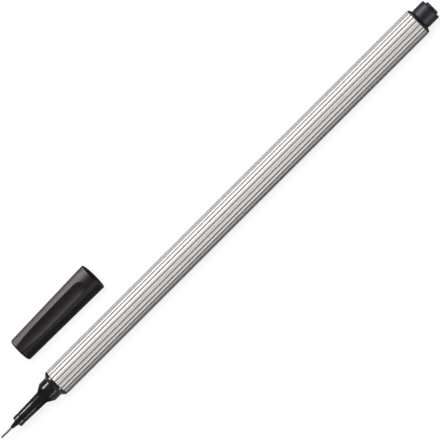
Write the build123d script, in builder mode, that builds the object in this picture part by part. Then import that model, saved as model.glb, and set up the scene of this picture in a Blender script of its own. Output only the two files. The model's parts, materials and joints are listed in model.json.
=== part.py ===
from build123d import *
from math import atan2, cos, degrees, pi, sin, sqrt
import os

# A fineliner pen lying on a table, with its cap taken off and laid beside it.
# Lengths are millimetres. X runs along the pen from its point to its tail, Z is up and the
# table is Z = 0. The origin is on the table, under the middle of pen and cap together.

# Fits between pieces, as radial gaps, and how far cutting tools run past their work
press_fit = 0.01
slip_fit = 0.03
overrun = 1.0

# Barrel: a tube with rounded ribs outside and narrow keeper ribs inside
barrel_length = 133.2
barrel_diameter = 8.0
rib_count = 20
flute_depth = 0.15
barrel_wall = 0.65
barrel_end_chamfer = 0.2
keeper_count = 6
keeper_width = 0.5
keeper_setback = 1.5
air_gap = 0.5

# Collar of the grip section and flange of the tail plug, just inside the ribs' resting line
collar_setback = 0.04
collar_band = 0.5
collar_cone_length = 0.95

# Grip section: spigot in the barrel, collar, seat for the cap, cone and slim tube
spigot_length = 11.0
spigot_chamfer = 0.3
spigot_wall = 1.1
core_depth = 7.0
seat_diameter = 6.0
seat_length = 2.2
nose_cone_length = 1.95
tube_root_diameter = 3.6
tube_tip_diameter = 3.2
tube_length = 7.5
tube_wall = 0.6
passage_gap = 0.25
collar_edge_radius = 0.08
seat_edge_radius = 0.3
nose_sweep_radius = 1.2

# Tip bush: a ring in line with the tube, a slim cone ahead of it and a spigot inside the tube
ring_length = 1.8
ring_edge_radius = 0.2
joint_chamfer = 0.14
cone_length = 2.0
cone_base_diameter = 1.5
cone_nose_wall = 0.12
cone_nose_edge = 0.05
bush_spigot_length = 5.0
bush_end_gap = 0.4
vent_width = 0.3
vent_depth = 0.15

# Ferrule: the steel needle that clads the point, with a wider shank inside the bush
ferrule_wall = 0.18
ferrule_shank_length = 3.9
sleeve_wall = 0.08
sleeve_length = 2.35
sleeve_edge = 0.05

# Nib core: the capillary rod from the point into the reservoir
point_diameter = 0.45
point_length = 1.5
nib_rod_diameter = 0.9
nib_entry = 8.0

# Reservoir film round the fibre rod
film_thickness = 0.12

# Tail plug: spigot in the barrel, flange, post for the cap and end boss
flange_band = 0.2
flange_cone_length = 0.6
foot_groove_width = 0.3
foot_groove_depth = 0.12
post_length = 3.92
post_edge_radius = 0.3
boss_length = 0.63
boss_edge_radius = 0.35
boss_radius_share = 0.66
plug_spigot_length = 9.0
plug_wall = 0.7
post_wall = 0.75
plug_end_wall = 1.2
fin_thickness = 0.7

# Cap: tapered shell with scooped grips, and the soft seal pushed into it
cap_mouth_wall = 1.02
cap_lead_share = 0.6
cap_taper = 0.55
cap_end_wall = 1.5
cap_edge_radius = 0.5
mouth_edge_radius = 0.15
socket_margin = 0.5
socket_step = 0.55
tip_room = 5.65
scoop_count = 3
scoop_radius = 6.0
scoop_depth = 0.62
scoop_margin = 2.8
scoop_tail_length = 10.0
scoop_tail_depth = 0.14
scoop_turn = 72.7
seal_wall = 0.4
seal_floor = 0.5
seal_setback = 1.0
seal_lip_length = 1.0
liner_inset = 0.5

# Where the cap lies: its mouth behind the pen's point, and the gap between the two
cap_mouth_from_point = 46.55
rest_gap = 6.15

# Rib section: each rib is one arc from groove to groove through its crest
crest_radius = barrel_diameter / 2
groove_radius = crest_radius - flute_depth
half_pitch = pi / rib_count
rib_rise = crest_radius - groove_radius * cos(half_pitch)
rib_centre_radius = (crest_radius**2 - groove_radius**2) / (2 * rib_rise)
rib_radius = crest_radius - rib_centre_radius

# The pen lies on two neighbouring ribs
pen_axis_height = rib_centre_radius * cos(half_pitch) + rib_radius

# Radii that pieces share
bore_radius = groove_radius - barrel_wall
spigot_radius = bore_radius - press_fit
collar_radius = pen_axis_height - collar_setback
seat_radius = seat_diameter / 2
tube_root_radius = tube_root_diameter / 2
tube_tip_radius = tube_tip_diameter / 2
film_radius = bore_radius - air_gap
reservoir_radius = film_radius - film_thickness
point_radius = point_diameter / 2
nib_rod_radius = nib_rod_diameter / 2
sleeve_bore_radius = point_radius + press_fit
sleeve_radius = sleeve_bore_radius + sleeve_wall
shank_bore_radius = nib_rod_radius + press_fit
shank_radius = shank_bore_radius + ferrule_wall
bush_bore_radius = shank_radius + press_fit
nose_bore_radius = sleeve_radius + press_fit
cone_nose_radius = nose_bore_radius + cone_nose_wall
cone_base_radius = cone_base_diameter / 2
bush_socket_radius = tube_tip_radius - tube_wall
bush_spigot_radius = bush_socket_radius - press_fit
passage_radius = nib_rod_radius + passage_gap
core_radius = spigot_radius - spigot_wall
boss_radius = seat_radius * boss_radius_share
plug_core_radius = spigot_radius - plug_wall
post_core_radius = seat_radius - post_wall

# Stations along the pen from the barrel's front face, negative towards the point
seat_start = -(collar_band + collar_cone_length)
nose_cone_start = seat_start - seat_length
tube_start = nose_cone_start - nose_cone_length
ring_start = tube_start - tube_length
cone_start = ring_start - ring_length
sleeve_start = cone_start - cone_length
point_start = sleeve_start - sleeve_length
point_end = point_start - point_length
core_floor = spigot_length - core_depth
nib_end = spigot_length + nib_entry
plug_start = barrel_length - plug_spigot_length
post_start = barrel_length + flange_band + flange_cone_length
post_end = post_start + post_length
tail_end = post_end + boss_length
plug_core_floor = post_end - plug_end_wall
nose_length = -point_end
pen_length = nose_length + tail_end


def tube_radius(station):
    """Outside radius of the slim tube at a station along the pen."""
    return tube_root_radius + (tube_tip_radius - tube_root_radius) * (tube_start - station) / tube_length


def scoop_axis_radius(station):
    """Distance from the cap's axis to the middle of the bar that cuts a scoop."""
    skin = mouth_radius - cap_taper * station / cap_length
    return skin - scoop_depth + scoop_radius


# Cap sizes: the mouth stops where its lead-in meets the collar's cone
socket_radius = seat_radius + slip_fit
mouth_radius = socket_radius + cap_mouth_wall
cap_lead = cap_mouth_wall * cap_lead_share
lead_radius = socket_radius + cap_lead
collar_slope = (collar_radius - seat_radius) / collar_cone_length
capped_gap = collar_band + (collar_radius - lead_radius) / collar_slope
cap_length = nose_length - capped_gap + tip_room + seal_floor + cap_end_wall
cap_end_radius = mouth_radius - cap_taper
socket_end = -nose_cone_start - capped_gap + socket_margin
liner_radius = socket_radius - liner_inset
liner_start = socket_end + socket_step
liner_end = cap_length - cap_end_wall
seal_radius = liner_radius - press_fit
seal_inner_radius = seal_radius - seal_wall
seal_start = -tube_start - capped_gap + seal_setback
lip_radius = tube_radius(-capped_gap - seal_start) + slip_fit
scoop_runout = sqrt(scoop_radius**2 - (scoop_radius - scoop_depth) ** 2)
scoop_start = scoop_margin + scoop_runout
scoop_tail_start = cap_length - scoop_tail_length
scoop_tail_end = cap_length + overrun
scoop_tail_rise = (scoop_depth - scoop_tail_depth) * (1 + overrun / scoop_tail_length) ** 2

# Resting layout: the cap lies along its own taper, so its axis climbs towards its mouth
cap_tilt = atan2(cap_taper, cap_length)
cap_offset = pen_axis_height + rest_gap + mouth_radius
pen_y = (pen_axis_height - cap_offset - mouth_radius) / 2
cap_y = pen_y + cap_offset
barrel_front = nose_length - pen_length / 2
cap_mouth_x = cap_mouth_from_point - pen_length / 2
cap_mouth_height = mouth_radius * cos(cap_tilt)

# Working planes: one along each axis for turned profiles, one across it for sections
pen_origin = (barrel_front, pen_y, pen_axis_height)
pen_along = Plane(origin=pen_origin, x_dir=(1, 0, 0), z_dir=(0, -1, 0))
pen_across = Plane(origin=pen_origin, x_dir=(0, 1, 0), z_dir=(1, 0, 0))
pen_axis = Axis(pen_origin, (1, 0, 0))
cap_origin = (cap_mouth_x, cap_y, cap_mouth_height)
cap_inward = (-cos(cap_tilt), 0, -sin(cap_tilt))
cap_along = Plane(origin=cap_origin, x_dir=cap_inward, z_dir=(0, 1, 0))
cap_across = Plane(origin=cap_origin, x_dir=(0, -1, 0), z_dir=cap_inward)
cap_axis = Axis(cap_origin, cap_inward)


def polar_point(radius, half_steps):
    """Point of the rib section at a radius, counted in half rib pitches."""
    angle = half_steps * half_pitch
    return (radius * cos(angle), radius * sin(angle))


def corner_of(profile, station, radius):
    """Corner of a turned profile nearest to a station and a radius."""
    return profile.vertices().sort_by_distance((station, radius))[0]


# Barrel
with BuildPart() as barrel:
    with BuildSketch(pen_across):
        with BuildLine():
            for rib in range(rib_count):
                ThreePointArc(
                    polar_point(groove_radius, 2 * rib),
                    polar_point(crest_radius, 2 * rib + 1),
                    polar_point(groove_radius, 2 * rib + 2),
                )
        make_face()
        Circle(bore_radius, mode=Mode.SUBTRACT)
    extrude(amount=barrel_length)
    # Chamfer that takes the ribs' ends off at both faces
    with BuildSketch(pen_along):
        for face, inward in ((0, 1), (barrel_length, -1)):
            with BuildLine():
                Polyline(
                    (face, crest_radius - barrel_end_chamfer),
                    (face, crest_radius + overrun),
                    (face + inward * (barrel_end_chamfer + overrun), crest_radius + overrun),
                    close=True,
                )
            make_face()
    revolve(axis=pen_axis, mode=Mode.SUBTRACT)
    # Keeper ribs that centre the reservoir and leave air channels between them
    keeper_start = spigot_length + keeper_setback
    keeper_height = bore_radius - film_radius - slip_fit + barrel_wall / 2
    keeper_middle = film_radius + slip_fit + keeper_height / 2
    with BuildSketch(pen_across.offset(keeper_start)):
        with PolarLocations(keeper_middle, keeper_count):
            Rectangle(keeper_height, keeper_width)
    extrude(amount=plug_start - keeper_setback - keeper_start)
barrel.part.label = "barrel"

# Grip section
with BuildPart() as grip_section:
    with BuildSketch(pen_along) as section_profile:
        with BuildLine():
            Polyline(
                (spigot_length, core_radius),
                (spigot_length, spigot_radius - spigot_chamfer),
                (spigot_length - spigot_chamfer, spigot_radius),
                (0, spigot_radius),
                (0, collar_radius),
                (-collar_band, collar_radius),
                (seat_start, seat_radius),
                (nose_cone_start, seat_radius),
                (tube_start, tube_root_radius),
                (ring_start + joint_chamfer, tube_radius(ring_start + joint_chamfer)),
                (ring_start, tube_tip_radius - joint_chamfer),
                (ring_start, bush_socket_radius),
                (ring_start + bush_spigot_length, bush_socket_radius),
                (ring_start + bush_spigot_length, passage_radius),
                (core_floor, passage_radius),
                (core_floor, core_radius),
                close=True,
            )
        make_face()
        fillet(corner_of(section_profile, -collar_band, collar_radius), radius=collar_edge_radius)
        fillet(corner_of(section_profile, nose_cone_start, seat_radius), radius=seat_edge_radius)
        fillet(corner_of(section_profile, tube_start, tube_root_radius), radius=nose_sweep_radius)
    revolve(axis=pen_axis)
grip_section.part.label = "grip_section"

# Tip bush, with an air vent cut along its bore
with BuildPart() as tip_bush:
    with BuildSketch(pen_along) as bush_profile:
        with BuildLine():
            Polyline(
                (sleeve_start, nose_bore_radius),
                (sleeve_start, cone_nose_radius - cone_nose_edge),
                (sleeve_start + cone_nose_edge, cone_nose_radius),
                (cone_start, cone_base_radius),
                (cone_start, tube_tip_radius),
                (ring_start - joint_chamfer, tube_tip_radius),
                (ring_start, tube_tip_radius - joint_chamfer),
                (ring_start, bush_spigot_radius),
                (ring_start + bush_spigot_length - bush_end_gap, bush_spigot_radius),
                (ring_start + bush_spigot_length - bush_end_gap, bush_bore_radius),
                (ring_start, bush_bore_radius),
                (cone_start, nose_bore_radius),
                close=True,
            )
        make_face()
        fillet(corner_of(bush_profile, cone_start, tube_tip_radius), radius=ring_edge_radius)
    revolve(axis=pen_axis)
    with BuildSketch(pen_across.offset(cone_start)):
        with Locations((0, -bush_bore_radius)):
            Rectangle(vent_width, 2 * vent_depth)
    extrude(amount=ring_length + bush_spigot_length, mode=Mode.SUBTRACT)
tip_bush.part.label = "tip_bush"

# Ferrule
with BuildPart() as nib_ferrule:
    with BuildSketch(pen_along):
        with BuildLine():
            Polyline(
                (point_start, sleeve_bore_radius),
                (point_start, sleeve_radius - sleeve_edge),
                (point_start + sleeve_edge, sleeve_radius),
                (cone_start, sleeve_radius),
                (ring_start, shank_radius),
                (ring_start + ferrule_shank_length, shank_radius),
                (ring_start + ferrule_shank_length, shank_bore_radius),
                (ring_start, shank_bore_radius),
                (cone_start, sleeve_bore_radius),
                close=True,
            )
        make_face()
    revolve(axis=pen_axis)
nib_ferrule.part.label = "nib_ferrule"

# Nib core, with a ball end that writes
with BuildPart() as nib_core:
    with BuildSketch(pen_along):
        with BuildLine():
            ball = CenterArc((point_end + point_radius, 0), point_radius, 90, 90)
            Polyline(
                ball @ 0,
                (cone_start, point_radius),
                (ring_start, nib_rod_radius),
                (nib_end, nib_rod_radius),
                (nib_end, 0),
                ball @ 1,
            )
        make_face()
    revolve(axis=pen_axis)
nib_core.part.label = "nib_core"

# Ink reservoir: a fibre rod that the nib core pushes into
with BuildPart() as ink_reservoir:
    with BuildSketch(pen_along):
        with BuildLine():
            Polyline(
                (spigot_length, nib_rod_radius + press_fit),
                (spigot_length, reservoir_radius),
                (plug_start, reservoir_radius),
                (plug_start, 0),
                (nib_end, 0),
                (nib_end, nib_rod_radius + press_fit),
                close=True,
            )
        make_face()
    revolve(axis=pen_axis)
ink_reservoir.part.label = "ink_reservoir"

# Film wrapped round the fibre rod
with BuildPart() as reservoir_film:
    with BuildSketch(pen_across.offset(spigot_length)):
        Circle(film_radius)
        Circle(reservoir_radius + press_fit, mode=Mode.SUBTRACT)
    extrude(amount=plug_start - spigot_length)
reservoir_film.part.label = "reservoir_film"

# Tail plug, hollow inside, with crossed fins that bear on the reservoir
with BuildPart() as end_plug:
    with BuildSketch(pen_along) as plug_profile:
        with BuildLine():
            Polyline(
                (plug_start, plug_core_radius),
                (plug_start, spigot_radius - spigot_chamfer),
                (plug_start + spigot_chamfer, spigot_radius),
                (barrel_length, spigot_radius),
                (barrel_length, collar_radius),
                (barrel_length + flange_band, collar_radius),
                (post_start, seat_radius - foot_groove_depth),
                (post_start + foot_groove_width, seat_radius),
                (post_end, seat_radius),
                (post_end, boss_radius),
                (tail_end, boss_radius),
                (tail_end, 0),
                (plug_core_floor, 0),
                (plug_core_floor, post_core_radius),
                (barrel_length, post_core_radius),
                (barrel_length, plug_core_radius),
                close=True,
            )
        make_face()
        fillet(corner_of(plug_profile, barrel_length + flange_band, collar_radius), radius=collar_edge_radius)
        fillet(corner_of(plug_profile, post_end, seat_radius), radius=post_edge_radius)
        fillet(corner_of(plug_profile, tail_end, boss_radius), radius=boss_edge_radius)
    revolve(axis=pen_axis)
    fin_span = plug_core_radius + spigot_radius
    with BuildSketch(pen_across.offset(plug_start)):
        Rectangle(fin_span, fin_thickness)
        Rectangle(fin_thickness, fin_span)
    extrude(amount=plug_spigot_length)
end_plug.part.label = "end_plug"

# Scoop cutter: a round bar along the cap's skin, with a ball end and a bend away from the closed end
with BuildPart() as scoop:
    with BuildLine(Plane.XZ):
        run = Line(
            (scoop_axis_radius(scoop_start), scoop_start),
            (scoop_axis_radius(scoop_tail_start), scoop_tail_start),
        )
        TangentArc(
            run @ 1,
            (scoop_axis_radius(scoop_tail_end) + scoop_tail_rise, scoop_tail_end),
            tangent=run % 1,
        )
    with BuildSketch(Plane(run @ 0, z_dir=run % 0)):
        Circle(scoop_radius)
    sweep()
    with Locations(run @ 0):
        Sphere(scoop_radius)

# Cap shell: tapered outside, stepped inside, with scooped grips that run out at both ends
with BuildPart() as cap_shell:
    with BuildSketch(cap_along) as cap_profile:
        with BuildLine():
            Polyline(
                (0, lead_radius),
                (0, mouth_radius),
                (cap_length, cap_end_radius),
                (cap_length, 0),
                (liner_end, 0),
                (liner_end, liner_radius),
                (liner_start, liner_radius),
                (socket_end, socket_radius),
                (cap_lead, socket_radius),
                close=True,
            )
        make_face()
        fillet(corner_of(cap_profile, cap_length, cap_end_radius), radius=cap_edge_radius)
        fillet(corner_of(cap_profile, 0, mouth_radius), radius=mouth_edge_radius)
    revolve(axis=cap_axis)
    with Locations(cap_across):
        with PolarLocations(0, scoop_count, start_angle=scoop_turn):
            add(scoop.part, mode=Mode.SUBTRACT)
cap_shell.part.label = "cap_shell"

# Cap seal: a soft cup whose lip closes on the slim tube
with BuildPart() as cap_seal:
    lip_end = seal_start + seal_lip_length
    with BuildSketch(cap_along):
        with BuildLine():
            Polyline(
                (seal_start, lip_radius),
                (seal_start, seal_radius),
                (liner_end, seal_radius),
                (liner_end, 0),
                (liner_end - seal_floor, 0),
                (liner_end - seal_floor, seal_inner_radius),
                (lip_end + seal_wall, seal_inner_radius),
                (lip_end, lip_radius),
                close=True,
            )
        make_face()
    revolve(axis=cap_axis)
cap_seal.part.label = "cap_seal"

pieces = [
    barrel,
    grip_section,
    tip_bush,
    nib_ferrule,
    nib_core,
    ink_reservoir,
    reservoir_film,
    end_plug,
    cap_shell,
    cap_seal,
]

os.makedirs("parts", exist_ok=True)
for piece in pieces:
    export_step(piece.part, f"parts/{piece.part.label}.step")

print(f"pen {pen_length:.2f} mm long, cap {cap_length:.2f} mm long")
print(f"cap lies {degrees(cap_tilt):.2f} degrees off level, capped gap {capped_gap:.3f} mm")
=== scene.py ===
"""Fineliner pen with its cap taken off: finished meshes, finishes, light and camera.

Sizes of pieces are millimetres and angles are degrees, unless a docstring says otherwise. Meshes are made
in metres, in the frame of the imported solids.
"""

import json
import logging
import math
from collections.abc import Callable, Mapping, Sequence
from dataclasses import dataclass
from enum import Enum
from functools import cached_property
from typing import Protocol

import bpy
from mathutils import Matrix, Vector


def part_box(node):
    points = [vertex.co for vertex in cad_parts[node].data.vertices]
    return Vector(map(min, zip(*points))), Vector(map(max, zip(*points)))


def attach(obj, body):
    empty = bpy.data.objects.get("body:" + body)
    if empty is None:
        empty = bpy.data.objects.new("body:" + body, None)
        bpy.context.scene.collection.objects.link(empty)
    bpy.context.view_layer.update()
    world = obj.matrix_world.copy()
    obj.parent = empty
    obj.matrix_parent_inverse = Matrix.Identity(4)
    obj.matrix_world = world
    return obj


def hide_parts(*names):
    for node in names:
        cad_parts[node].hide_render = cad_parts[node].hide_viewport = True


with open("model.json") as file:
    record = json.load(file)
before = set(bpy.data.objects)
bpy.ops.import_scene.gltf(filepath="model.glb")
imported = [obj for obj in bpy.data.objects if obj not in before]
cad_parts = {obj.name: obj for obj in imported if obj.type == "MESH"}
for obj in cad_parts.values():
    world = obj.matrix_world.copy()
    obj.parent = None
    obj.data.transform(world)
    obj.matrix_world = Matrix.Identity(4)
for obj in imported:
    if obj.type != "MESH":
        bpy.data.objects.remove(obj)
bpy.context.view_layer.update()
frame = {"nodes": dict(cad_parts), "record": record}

MM = 0.001
ARC_STEP = math.radians(11.0)
LEAST_ARC_STEPS = 2
SMOOTH_ANGLE = math.radians(28.0)
# Points closer than this, in metres, become one.
MERGE_DISTANCE = 1e-7
# Gap of a press fit on the radius, and the margin of cuts and tests, in millimetres.
FIT = 0.01
NOISE_MIDDLE = 0.5
# Power of a square metre of lamp whose face has a radiance of 1.
LAMP_POWER = 4.0

log = logging.getLogger("fineliner")

Reach = tuple[float, float]
Colour = tuple[float, float, float, float]
WHITE: Colour = (1.0, 1.0, 1.0, 1.0)


class Slot(Enum):
    """Material slots of the record."""

    BARREL = "barrel_plastic"
    BLACK = "black_plastic"
    STEEL = "steel"
    NIB = "nib_fibre"


class Body(Enum):
    """Bodies that pieces ride on."""

    PEN = "pen"
    CAP = "cap"


class Work(Enum):
    """What a bar does to the piece that it meets."""

    FUSE = "UNION"
    CUT = "DIFFERENCE"


@dataclass(frozen=True)
class Axis:
    """Line that turned pieces share.

    Attributes:
        origin: Start of the line, in metres.
        along: Unit direction in which stations count up.
        side: Unit direction, square to the line, in which turns start.
    """

    origin: Vector
    along: Vector
    side: Vector

    @property
    def rise(self) -> Vector:
        """Unit direction a quarter turn on from the side."""
        return self.along.cross(self.side)

    def point(self, station: float, radius: float, turn: float = 0.0) -> Vector:
        """Place a point by its distance along the line, its radius and its turn.

        Args:
            station: Distance along the line in millimetres.
            radius: Distance from the line in millimetres.
            turn: Angle about the line in radians, from the side.

        Returns:
            The point in metres.
        """
        outward = self.side * math.cos(turn) + self.rise * math.sin(turn)
        return self.origin + (self.along * station + outward * radius) * MM

    def coordinates(self, point: Vector) -> tuple[float, float, float]:
        """Read a point's station, radius and turn.

        Args:
            point: The point in metres.

        Returns:
            Station and radius in millimetres, and turn in radians.
        """
        offset = (point - self.origin) / MM
        across = offset.dot(self.side)
        above = offset.dot(self.rise)
        return offset.dot(self.along), math.hypot(across, above), math.atan2(above, across)

    def reach(self, node: str) -> Reach:
        """Read where a solid starts and ends along the line.

        Args:
            node: Name of a solid whose own axis is this line.

        Returns:
            Its first and last stations in millimetres.
        """
        low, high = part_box(node)
        return self.coordinates(low)[0], self.coordinates(high)[0]


def half_breadth(node: str) -> float:
    """Radius of a turned solid at its widest, in millimetres."""
    low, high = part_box(node)
    return (high.y - low.y) / 2 / MM


@dataclass(frozen=True)
class Corner:
    """Corner of a turned outline.

    Attributes:
        station: Distance along the axis.
        radius: Distance from the axis.
        blend: Radius that rounds the corner, zero where it is sharp.
        step: Longest piece of the straight run to the next corner, zero where it stays whole.
    """

    station: float
    radius: float
    blend: float = 0.0
    step: float = 0.0


def rounded_corner(before: Vector, corner: Corner, after: Vector) -> list[Vector]:
    """Replace a corner by an arc that touches both of its runs.

    Args:
        before: Station and radius of the corner before.
        corner: The corner with its blend.
        after: Station and radius of the corner after.

    Returns:
        Points of the arc, or the corner itself where it is sharp.
    """
    tip = Vector((corner.station, corner.radius))
    if corner.blend == 0.0:
        return [tip]
    back = (before - tip).normalized()
    on = (after - tip).normalized()
    half = back.angle(on) / 2
    middle = tip + (back + on).normalized() * (corner.blend / math.sin(half))
    start = tip + back * (corner.blend / math.tan(half)) - middle
    sweep = math.pi - 2 * half
    way = 1.0 if back.cross(on) < 0 else -1.0
    steps = max(LEAST_ARC_STEPS, math.ceil(sweep / ARC_STEP))
    return [middle + Matrix.Rotation(way * sweep * n / steps, 2) @ start for n in range(steps + 1)]


def outline_points(corners: Sequence[Corner], closed: bool) -> list[Vector]:
    """Turn corners into the points of an outline.

    Args:
        corners: The corners in order.
        closed: Whether the last corner runs back to the first.

    Returns:
        Stations and radii, with the first point repeated at the end of a closed outline.
    """
    places = [Vector((corner.station, corner.radius)) for corner in corners]
    points: list[Vector] = []
    step = 0.0
    for index, corner in enumerate(corners):
        arc = rounded_corner(places[index - 1], corner, places[(index + 1) % len(places)])
        if step > 0.0:
            run = arc[0] - points[-1]
            count = math.ceil(run.length / step)
            points += [points[-1] + run * (n / count) for n in range(1, count)]
        points += arc
        step = corner.step
    if closed:
        points.append(points[0])
    return points


def clear_selection() -> None:
    """Leave nothing selected and nothing active."""
    bpy.ops.object.select_all(action="DESELECT")
    bpy.context.view_layer.objects.active = None


def turned_piece(name: str, axis: Axis, corners: Sequence[Corner], segments: int) -> bpy.types.Object:
    """Draw an outline point by point and spin it about an axis.

    Args:
        name: Name of the new piece.
        axis: Line to spin about.
        corners: Outline in stations and radii. It is closed unless it starts and ends on the axis.
        segments: Steps in a full turn.

    Returns:
        The closed piece, with faces pointing outwards.
    """
    closed = corners[0].radius > 0.0
    points = [axis.point(place.x, place.y) for place in outline_points(corners, closed)]
    clear_selection()
    bpy.ops.mesh.primitive_plane_add(size=MM)
    piece = bpy.context.object
    piece.name = name
    piece.data.name = name
    bpy.ops.object.mode_set(mode="EDIT")
    bpy.ops.mesh.merge(type="CENTER")
    bpy.ops.transform.translate(value=points[0])
    for here, there in zip(points, points[1:]):
        bpy.ops.mesh.extrude_region_move(TRANSFORM_OT_translate={"value": there - here})
    bpy.ops.mesh.select_all(action="SELECT")
    bpy.ops.mesh.spin(steps=segments, angle=math.tau, center=axis.origin, axis=axis.along)
    bpy.ops.mesh.select_all(action="SELECT")
    bpy.ops.mesh.remove_doubles(threshold=MERGE_DISTANCE)
    bpy.ops.mesh.normals_make_consistent(inside=False)
    bpy.ops.object.mode_set(mode="OBJECT")
    return piece


def press(piece: bpy.types.Object, axis: Axis, rule: Callable[[float, float, float], float]) -> None:
    """Move a turned piece's points in or out from its axis.

    Args:
        piece: The piece to shape.
        axis: Line that the piece was turned about.
        rule: Gives a point's new radius from its station, radius and turn.
    """
    for vertex in piece.data.vertices:
        station, radius, turn = axis.coordinates(vertex.co)
        vertex.co = axis.point(station, rule(station, radius, turn), turn)
    piece.data.update()


def select_only(piece: bpy.types.Object) -> None:
    """Leave one piece selected and active.

    Args:
        piece: The piece to select.
    """
    clear_selection()
    piece.select_set(True)
    bpy.context.view_layer.objects.active = piece


def work_bar(piece: bpy.types.Object, axis: Axis, low: Vector, high: Vector, work: Work) -> None:
    """Fuse a straight bar with a piece of the pen, or cut it out of the piece.

    Args:
        piece: The piece to work on.
        axis: Axis of the pen.
        low: The bar's lowest corner: its station, and its distances beside and above the axis.
        high: Its opposite corner.
        work: Whether the bar is added or taken away.
    """
    clear_selection()
    middle = axis.origin + (low + high) * (MM / 2)
    bpy.ops.mesh.primitive_cube_add(size=1.0, location=middle, scale=(high - low) * MM)
    bar = bpy.context.object
    select_only(piece)
    bpy.ops.object.modifier_add(type="BOOLEAN")
    modifier = piece.modifiers[-1]
    modifier.operation = work.value
    modifier.object = bar
    bpy.ops.object.modifier_apply(modifier=modifier.name)
    bpy.data.objects.remove(bar)


def smooth_faces(piece: bpy.types.Object) -> None:
    """Shade a piece smooth up to its sharp edges, with flat faces kept flat.

    Args:
        piece: The piece to shade.
    """
    select_only(piece)
    bpy.ops.object.shade_smooth_by_angle(angle=SMOOTH_ANGLE)
    bpy.ops.object.modifier_add(type="WEIGHTED_NORMAL")
    piece.modifiers[-1].keep_sharp = True
    bpy.ops.object.modifier_apply(modifier=piece.modifiers[-1].name)


def dress_node(node: str, material: bpy.types.Material) -> bpy.types.Object:
    """Give a solid's own mesh a material.

    Args:
        node: Name of the solid.
        material: The finish.

    Returns:
        The solid's object.
    """
    solid = frame["nodes"][node]
    solid.data.materials.clear()
    solid.data.materials.append(material)
    return solid


def install(
    piece: bpy.types.Object, body: Body, material: bpy.types.Material, node: str
) -> bpy.types.Object:
    """Put a finished piece in a solid's place and give both their material.

    Args:
        piece: The finished piece.
        body: Body that it rides on.
        material: The finish.
        node: Solid that it stands for.

    Returns:
        The piece.
    """
    smooth_faces(piece)
    piece.data.materials.append(material)
    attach(piece, body.value)
    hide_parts(node)
    dress_node(node, material)
    return piece


class Value:
    """Number carried by a socket. Operators on it add Math nodes."""

    def __init__(self, graph: "Graph", socket: bpy.types.NodeSocket) -> None:
        """Wrap a socket of a graph."""
        self.graph = graph
        self.socket = socket

    def math(self, operation: str, *terms: "Value | float") -> "Value":
        """Add a Math node.

        Args:
            operation: Name of the operation.
            *terms: Its inputs in order.

        Returns:
            The node's result.
        """
        node = self.graph.add("ShaderNodeMath", {"operation": operation}, dict(enumerate(terms)))
        return Value(self.graph, node.outputs[0])

    def __add__(self, other: "Value | float") -> "Value":
        """Sum."""
        return self.math("ADD", self, other)

    def __radd__(self, other: float) -> "Value":
        """Sum, with a number on the left."""
        return self.math("ADD", other, self)

    def __sub__(self, other: "Value | float") -> "Value":
        """Difference."""
        return self.math("SUBTRACT", self, other)

    def __rsub__(self, other: float) -> "Value":
        """Difference, with a number on the left."""
        return self.math("SUBTRACT", other, self)

    def __mul__(self, other: "Value | float") -> "Value":
        """Product."""
        return self.math("MULTIPLY", self, other)

    def __rmul__(self, other: float) -> "Value":
        """Product, with a number on the left."""
        return self.math("MULTIPLY", other, self)

    def root(self) -> "Value":
        """Square root."""
        return self.math("SQRT", self)

    def at_most(self, limit: float) -> "Value":
        """The value, cut off at a limit."""
        return self.math("MINIMUM", self, limit)

    def ramp(self, reach: Reach) -> "Value":
        """Ease from 0 to 1.

        Args:
            reach: Values that give 0 and 1.

        Returns:
            The eased value.
        """
        limits = {"Value": self, "From Min": reach[0], "From Max": reach[1]}
        node = self.graph.add("ShaderNodeMapRange", {"interpolation_type": "SMOOTHSTEP"}, limits)
        return Value(self.graph, node.outputs["Result"])


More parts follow.
